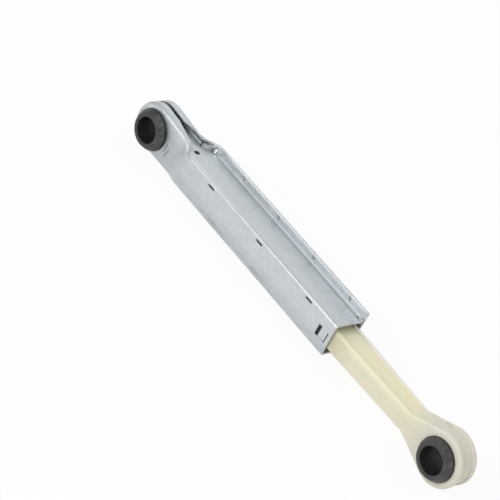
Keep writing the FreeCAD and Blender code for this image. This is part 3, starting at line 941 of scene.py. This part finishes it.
@dataclass
class SheetHousing:
    """Folded steel housing with its seam flange, ears and spot welds."""

    finish: GalvanisedSteel = field(default_factory=GalvanisedSteel)
    smooth_deg: float = 32.0

    # Spot welds, with the section of one as shares of its radius and its rise
    weld_finish: WeldedSteel = field(default_factory=WeldedSteel)
    weld_xs: tuple[float, ...] = (56 * MM, 86 * MM, 116 * MM, 146 * MM)
    weld_z: float = 12.9 * MM
    weld_r: float = 1.25 * MM
    weld_rise: float = 0.10 * MM
    weld_section: tuple[tuple[float, float], ...] = (
        (0.0, -1.0),
        (0.0, 0.2),
        (0.55, 0.25),
        (0.8, 1.0),
        (1.0, -1.0),
    )
    weld_steps: int = 40
    weld_smooth_deg: float = 50.0
    flange_in_y: float = 8.1 * MM
    flange_out_y: float = 10.2 * MM

    # Inner face of the far wall that is evened beside the notch
    iron_low: Triple = (24.2 * MM, 5.9 * MM, 8.6 * MM)
    iron_high: Triple = (30.5 * MM, 9.4 * MM, 11.4 * MM)
    iron_facing: float = -0.3
    iron_factor: float = 0.5
    iron_rounds: int = 12

    # Folded tab at the seam's end
    tab_corners: tuple[Triple, ...] = (
        (154.3 * MM, 7.8 * MM, 9.75 * MM),
        (158.9 * MM, 7.1 * MM, 8.95 * MM),
        (158.9 * MM, 8.6 * MM, 10.35 * MM),
    )
    tab_sheet: float = 0.6 * MM

    def in_iron_box(self, place: Vector) -> bool:
        """Tells whether a point lies in the part of the wall that is evened."""
        return all(low < part < high for low, part, high in zip(self.iron_low, place, self.iron_high))

    def iron(self, mesh: bmesh.types.BMesh) -> None:
        """Evens the inner face of the far wall beside the notch.

        Args:
            mesh: Mesh of the sheet.
        """
        mesh.normal_update()
        chosen = [v for v in mesh.verts if v.normal.y < self.iron_facing and self.in_iron_box(v.co)]
        ways = {"use_axis_x": False, "use_axis_y": True, "use_axis_z": False}
        for _ in range(self.iron_rounds):
            bmesh.ops.smooth_vert(mesh, verts=chosen, factor=self.iron_factor, **ways)

    def shell(self, finish: bpy.types.Material) -> bpy.types.Object:
        """Sheet of the housing.

        Args:
            finish: Material of the sheet.

        Returns:
            The new object.
        """
        mesh = merged_copy("housing")
        self.iron(mesh)
        piece = finish_piece(mesh, "housing_sheet", finish, self.smooth_deg)
        even_shading(piece)
        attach(piece, Body.HOUSING.value)
        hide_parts("housing")
        return piece

    def end_tab(self, finish: bpy.types.Material) -> bpy.types.Object:
        """Folded triangle of the seam's bend between two slits at the mouth.

        Args:
            finish: Material of the sheet.

        Returns:
            The new object.
        """
        mesh = bmesh.new()
        face = mesh.faces.new([mesh.verts.new(corner) for corner in self.tab_corners])
        mesh.normal_update()
        bmesh.ops.solidify(mesh, geom=[face], thickness=self.tab_sheet)
        bmesh.ops.recalc_face_normals(mesh, faces=mesh.faces[:])
        piece = finish_piece(mesh, "seam_end_tab", finish, self.smooth_deg)
        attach(piece, Body.HOUSING.value)
        return piece

    def weld(
        self, name: str, x: float, face_y: float, side: int, finish: bpy.types.Material
    ) -> bpy.types.Object:
        """One spot weld, a shallow dish with a raised ring.

        Args:
            name: Name of the object.
            x: Place along the flange.
            face_y: Face of the flange that it lies on.
            side: Which way the face looks along Y.
            finish: Material of the weld.

        Returns:
            The new object.
        """
        profile = [(out * self.weld_r, up * self.weld_rise) for out, up in self.weld_section]
        mesh = turned(profile, self.weld_steps)
        if side < 0:
            half_turn = Matrix.Rotation(math.pi, 3, "X")
            bmesh.ops.rotate(mesh, verts=mesh.verts[:], cent=(0, 0, 0), matrix=half_turn)
        bmesh.ops.translate(mesh, verts=mesh.verts[:], vec=(x, face_y, self.weld_z))
        piece = finish_piece(mesh, name, finish, self.weld_smooth_deg)
        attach(piece, Body.HOUSING.value)
        return piece

    def build(self) -> list[bpy.types.Object]:
        """Builds and dresses the housing.

        Returns:
            Its objects.
        """
        sheet, weld = self.finish.material(), self.weld_finish.material()
        pieces = [self.shell(sheet), self.end_tab(sheet)]
        for number, x in enumerate(self.weld_xs, start=1):
            pieces.append(self.weld(f"weld_inside_{number}", x, self.flange_in_y, -1, weld))
            pieces.append(self.weld(f"weld_outside_{number}", x, self.flange_out_y, 1, weld))
        return pieces


@dataclass
class NylonRod:
    """Moulded link that slides in the housing."""

    finish: NaturalNylon = field(default_factory=NaturalNylon)
    smooth_deg: float = 40.0
    flat_deg: float = 0.4
    edge_deg: float = 30.0
    edge_round: float = 0.36 * MM
    edge_strips: int = 4
    eye_bore_r: float = 9.6 * MM
    eye_bore_margin: float = 0.3 * MM
    eye_r: float = 14.6 * MM

    def from_eye(self, place: Vector) -> float:
        """Distance of a point from the eye's axis, in metres."""
        return math.hypot(place.x - EYE_DISTANCE, place.z)

    def by_eye(self, edge: bmesh.types.BMEdge) -> bool:
        """Tells whether an edge ends on the eye's round, whose faces have a hole."""
        return any(self.from_eye(vert.co) < self.eye_r for vert in edge.verts)

    def outside_bore(self, edge: bmesh.types.BMEdge) -> bool:
        """Tells whether an edge's middle is clear of the bush's seat."""
        middle = (edge.verts[0].co + edge.verts[1].co) / 2.0
        return self.from_eye(middle) > self.eye_bore_r + self.eye_bore_margin

    def build(self) -> list[bpy.types.Object]:
        """Builds and dresses the rod.

        Returns:
            Its objects.
        """
        mesh = merged_copy("rod")
        bmesh.ops.dissolve_degenerate(mesh, dist=JOIN_GAP, edges=mesh.edges[:])
        make_whole(mesh, [e for e in mesh.edges if not self.by_eye(e)], self.flat_deg)
        rims = [e for e in corner_edges(mesh, self.edge_deg) if self.outside_bore(e)]
        soften(mesh, rims, self.edge_round, self.edge_strips)
        piece = finish_piece(mesh, "nylon_rod", self.finish.material(), self.smooth_deg)
        even_shading(piece)
        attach(piece, Body.ROD.value)
        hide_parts("rod")
        return [piece]


@dataclass
class RubberBush:
    """Flanged rubber bush with a sloping collar on either side of its eye."""

    name: str
    node: str
    body: Body
    x: float
    bore_r: float = 7.0 * MM
    neck_r: float = 9.6 * MM
    ring_r: float = 9.3 * MM
    flange_r: float = 11.3 * MM
    reach: float = 10.6 * MM
    flange_top: float = 7.5 * MM
    grip: float = 6.4 * MM
    edge_deg: float = 20.0
    edge_round: float = 0.45 * MM
    edge_strips: int = 4
    steps: int = 128
    smooth_deg: float = 60.0

    def profile(self) -> list[tuple[float, float]]:
        """Corners of the bush's section as (radius, y).

        Returns:
            The corners, all round.
        """
        upper = [
            (self.bore_r, self.reach),
            (self.ring_r, self.reach),
            (self.flange_r, self.flange_top),
            (self.flange_r, self.grip),
            (self.neck_r, self.grip),
        ]
        return upper + [(radius, -y) for radius, y in reversed(upper)]

    def build(self, finish: bpy.types.Material) -> list[bpy.types.Object]:
        """Builds and dresses the bush.

        Args:
            finish: Rubber of both bushes.

        Returns:
            Its objects.
        """
        mesh = turned(self.profile(), self.steps)
        soften(mesh, corner_edges(mesh, self.edge_deg), self.edge_round, self.edge_strips)
        bmesh.ops.translate(mesh, verts=mesh.verts[:], vec=(self.x, 0.0, 0.0))
        piece = finish_piece(mesh, self.name, finish, self.smooth_deg)
        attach(piece, self.body.value)
        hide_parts(self.node)
        return [piece]


@dataclass
class SlideInserts:
    """Liners and friction pads inside the housing, shown as the frame has them."""

    liner: LinerPlastic = field(default_factory=LinerPlastic)
    felt: GreasedFelt = field(default_factory=GreasedFelt)
    liner_nodes: tuple[str, ...] = ("liner_upper", "liner_lower")
    felt_nodes: tuple[str, ...] = ("pad_upper", "pad_lower")

    def build(self) -> list[bpy.types.Object]:
        """Dresses the inner pieces.

        Returns:
            Their objects.
        """
        pieces = []
        for finish, nodes in ((self.liner, self.liner_nodes), (self.felt, self.felt_nodes)):
            material = finish.material()
            for node in nodes:
                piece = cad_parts[node]
                piece.data.materials.clear()
                piece.data.materials.append(material)
                pieces.append(piece)
        return pieces


@dataclass(frozen=True)
class Lamp:
    """Soft square lamp: its name, place and width in metres, and its power in watts."""

    name: str
    place: Triple
    width: float
    watts: float


@dataclass
class Studio:
    """Pale floor, soft light and the camera."""

    # Floor
    floor_gap: float = 0.2 * MM
    floor_half: float = 3.0
    floor_white: float = 0.94
    floor_smooth_deg: float = 30.0
    shadow_share: float = 0.08

    # Light
    white: Colour = (1.0, 1.0, 1.0)
    soft_light: Colour = (0.97, 0.985, 1.0)
    soft_strength: float = 0.62
    lamps: tuple[Lamp, ...] = (
        Lamp("key_lamp", (0.05, -0.95, 0.62), 0.7, 5.6),
        Lamp("fill_lamp", (0.75, 0.55, 0.65), 0.8, 0.8),
        Lamp("rim_lamp", (-0.55, 0.55, 0.55), 0.6, 0.6),
    )
    lamps_aim: Triple = (0.11, 0.0, 0.0)

    # Camera
    eye: Triple = (608.78 * MM, -771.44 * MM, 593.98 * MM)
    right: Triple = (0.5756643782, 0.7085321343, 0.4081577370)
    down: Triple = (0.6682538104, -0.1200003181, -0.7341912343)
    forward: Triple = (-0.4712190240, 0.6954007034, -0.5425592070)
    focal_px: float = 2198.24
    image_px: float = 500.0
    sensor: float = 36.0
    clip_start: float = 0.01
    clip_end: float = 20.0

    def floor(self) -> None:
        """Lays the floor under the lowest point of the part."""
        graph = Graph("pale_floor")
        path = graph.node("LightPath").outputs
        seen = graph.greatest(path["Is Camera Ray"], path["Is Glossy Ray"], path["Is Transmission Ray"])
        plain = graph.node("BsdfDiffuse", {"Color": (self.floor_white,) * 3})
        white = graph.node("Emission", {"Color": self.white, "Strength": 1.0})
        share = graph.product(seen, 1.0 - self.shadow_share)
        mixed = graph.node("MixShader", {0: share, 1: plain.outputs[0], 2: white.outputs[0]})
        graph.tree.links.new(mixed.outputs[0], graph.output.inputs["Surface"])
        mesh = bmesh.new()
        bmesh.ops.create_grid(mesh, x_segments=2, y_segments=2, size=self.floor_half)
        level = CAD_BOX[0][2] - self.floor_gap
        bmesh.ops.translate(mesh, verts=mesh.verts[:], vec=(0.0, 0.0, level))
        piece = finish_piece(mesh, "floor", graph.material, self.floor_smooth_deg)

    def world(self) -> None:
        """Lights the scene softly from all round and shows white behind it."""
        world = bpy.data.worlds.new("studio")
        bpy.context.scene.world = world
        world.use_nodes = True
        tree = world.node_tree
        tree.nodes.clear()
        path = tree.nodes.new("ShaderNodeLightPath")
        mixed = tree.nodes.new("ShaderNodeMixShader")
        output = tree.nodes.new("ShaderNodeOutputWorld")
        tree.links.new(path.outputs["Is Camera Ray"], mixed.inputs[0])
        for number, colour, strength in ((1, self.soft_light, self.soft_strength), (2, self.white, 1.0)):
            light = tree.nodes.new("ShaderNodeBackground")
            light.inputs["Color"].default_value = (*colour, 1.0)
            light.inputs["Strength"].default_value = strength
            tree.links.new(light.outputs[0], mixed.inputs[number])
        tree.links.new(mixed.outputs[0], output.inputs["Surface"])

    def hang(self, lamp: Lamp) -> None:
        """Hangs one lamp that faces the part.

        Args:
            lamp: Lamp to hang.
        """
        data = bpy.data.lights.new(lamp.name, "AREA")
        data.shape = "SQUARE"
        data.size = lamp.width
        data.energy = lamp.watts
        piece = bpy.data.objects.new(lamp.name, data)
        bpy.context.scene.collection.objects.link(piece)
        turn = (Vector(self.lamps_aim) - Vector(lamp.place)).to_track_quat("-Z", "Y")
        piece.matrix_world = Matrix.Translation(lamp.place) @ turn.to_matrix().to_4x4()

    def camera(self) -> None:
        """Sets the camera at the viewing angle."""
        data = bpy.data.cameras.new("camera")
        data.sensor_fit = "HORIZONTAL"
        data.sensor_width = self.sensor
        data.lens = self.focal_px / self.image_px * self.sensor
        data.clip_start = self.clip_start
        data.clip_end = self.clip_end
        camera = bpy.data.objects.new("camera", data)
        bpy.context.scene.collection.objects.link(camera)
        turn = Matrix((self.right, -Vector(self.down), -Vector(self.forward))).transposed()
        camera.matrix_world = Matrix.Translation(self.eye) @ turn.to_4x4()
        bpy.context.scene.camera = camera

    def build(self) -> None:
        """Sets up floor, light and camera."""
        self.floor()
        self.world()
        for lamp in self.lamps:
            self.hang(lamp)
        self.camera()
        bpy.context.scene.view_settings.view_transform = "Standard"


def report(pieces: Iterable[bpy.types.Object]) -> None:
    """Reports pieces by name and size.

    Args:
        pieces: Objects just built.
    """
    for piece in pieces:
        LOG.info("%s: %d faces", piece.name, len(piece.data.polygons))


def main() -> None:
    """Builds the damper and its studio in order."""
    logging.basicConfig(level=logging.INFO, format="%(name)s %(message)s")
    rubber = MouldedRubber().material()
    report(SheetHousing().build())
    report(NylonRod().build())
    report(RubberBush("bush_upper", "housing_bush", Body.HOUSING, 0.0).build(rubber))
    report(RubberBush("bush_lower", "rod_bush", Body.ROD, EYE_DISTANCE).build(rubber))
    report(SlideInserts().build())
    Studio().build()


if __name__ == "__main__":
    main()
